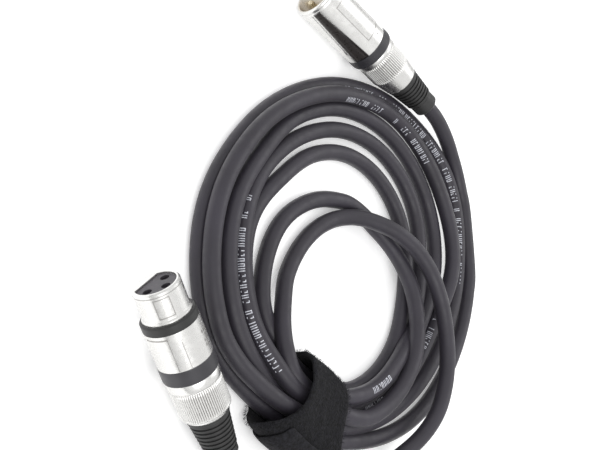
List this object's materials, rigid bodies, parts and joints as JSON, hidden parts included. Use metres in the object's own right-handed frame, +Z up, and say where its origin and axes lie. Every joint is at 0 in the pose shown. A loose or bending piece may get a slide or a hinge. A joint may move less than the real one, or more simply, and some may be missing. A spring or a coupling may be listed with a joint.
{
  "type": "microphone cable coil",
  "caption": "Coiled microphone cable held by a hook-and-loop strap, with a female latching connector on one end and a male connector on the other",
  "frame": {"origin": "centre of the bounding box in X and Y, on the plane that the coil lies on", "axes": "+Z is up, square to the flat coil; +Y points from the strap's side towards the male connector's side; +X points away from the female connector"},
  "size_m": [0.1946, 0.2037, 0.0261],
  "materials": {
    "cable_jacket": "satin",
    "strap_fabric": "matte",
    "shell_metal": "satin nickel",
    "latch_metal": "satin",
    "spring_steel": "plain",
    "insert_plastic": "matte",
    "contact_metal": "polished",
    "seal_rubber": "matte",
    "ring_plastic": "satin",
    "chuck_plastic": "matte",
    "boot_rubber": "matte",
    "core_red": "gloss",
    "core_white": "gloss",
    "drain_copper": "plain"
  },
  "bodies": {
    "cable": {"cable_coil": "cable_jacket", "inner_loop": "cable_jacket", "male_tail": "cable_jacket", "female_tail": "cable_jacket", "tie_strap": "strap_fabric", "female_housing": "shell_metal", "female_seal_ring": "seal_rubber", "female_insert": "insert_plastic", "female_contact_1": "contact_metal", "female_contact_2": "contact_metal", "female_contact_3": "contact_metal", "female_latch_pin": "spring_steel", "female_latch_spring": "spring_steel", "female_coding_ring": "ring_plastic", "female_chuck": "chuck_plastic", "female_bushing": "shell_metal", "female_boot": "boot_rubber", "female_jacket_end": "cable_jacket", "female_core_hot": "core_red", "female_core_cold": "core_white", "female_drain_wire": "drain_copper", "male_shell": "shell_metal", "male_insert": "insert_plastic", "male_pin_1": "contact_metal", "male_pin_2": "contact_metal", "male_pin_3": "contact_metal", "male_coding_ring": "ring_plastic", "male_chuck": "chuck_plastic", "male_bushing": "shell_metal", "male_boot": "boot_rubber", "male_jacket_end": "cable_jacket", "male_core_hot": "core_red", "male_core_cold": "core_white", "male_drain_wire": "drain_copper"},
    "latch": {"female_latch": "latch_metal"}
  },
  "joints": [
    {"name": "female_latch_press", "type": "hinge", "parent": "cable", "child": "latch", "pos_m": [-0.07623, -0.04778, 0.00715], "axis": [0.7859, 0.6184, 0], "range_deg": [0, 3], "stiffness_Nm_per_rad": 0.1, "springref_deg": -1.15, "deforming": ["female_latch_spring"]}
  ]
}
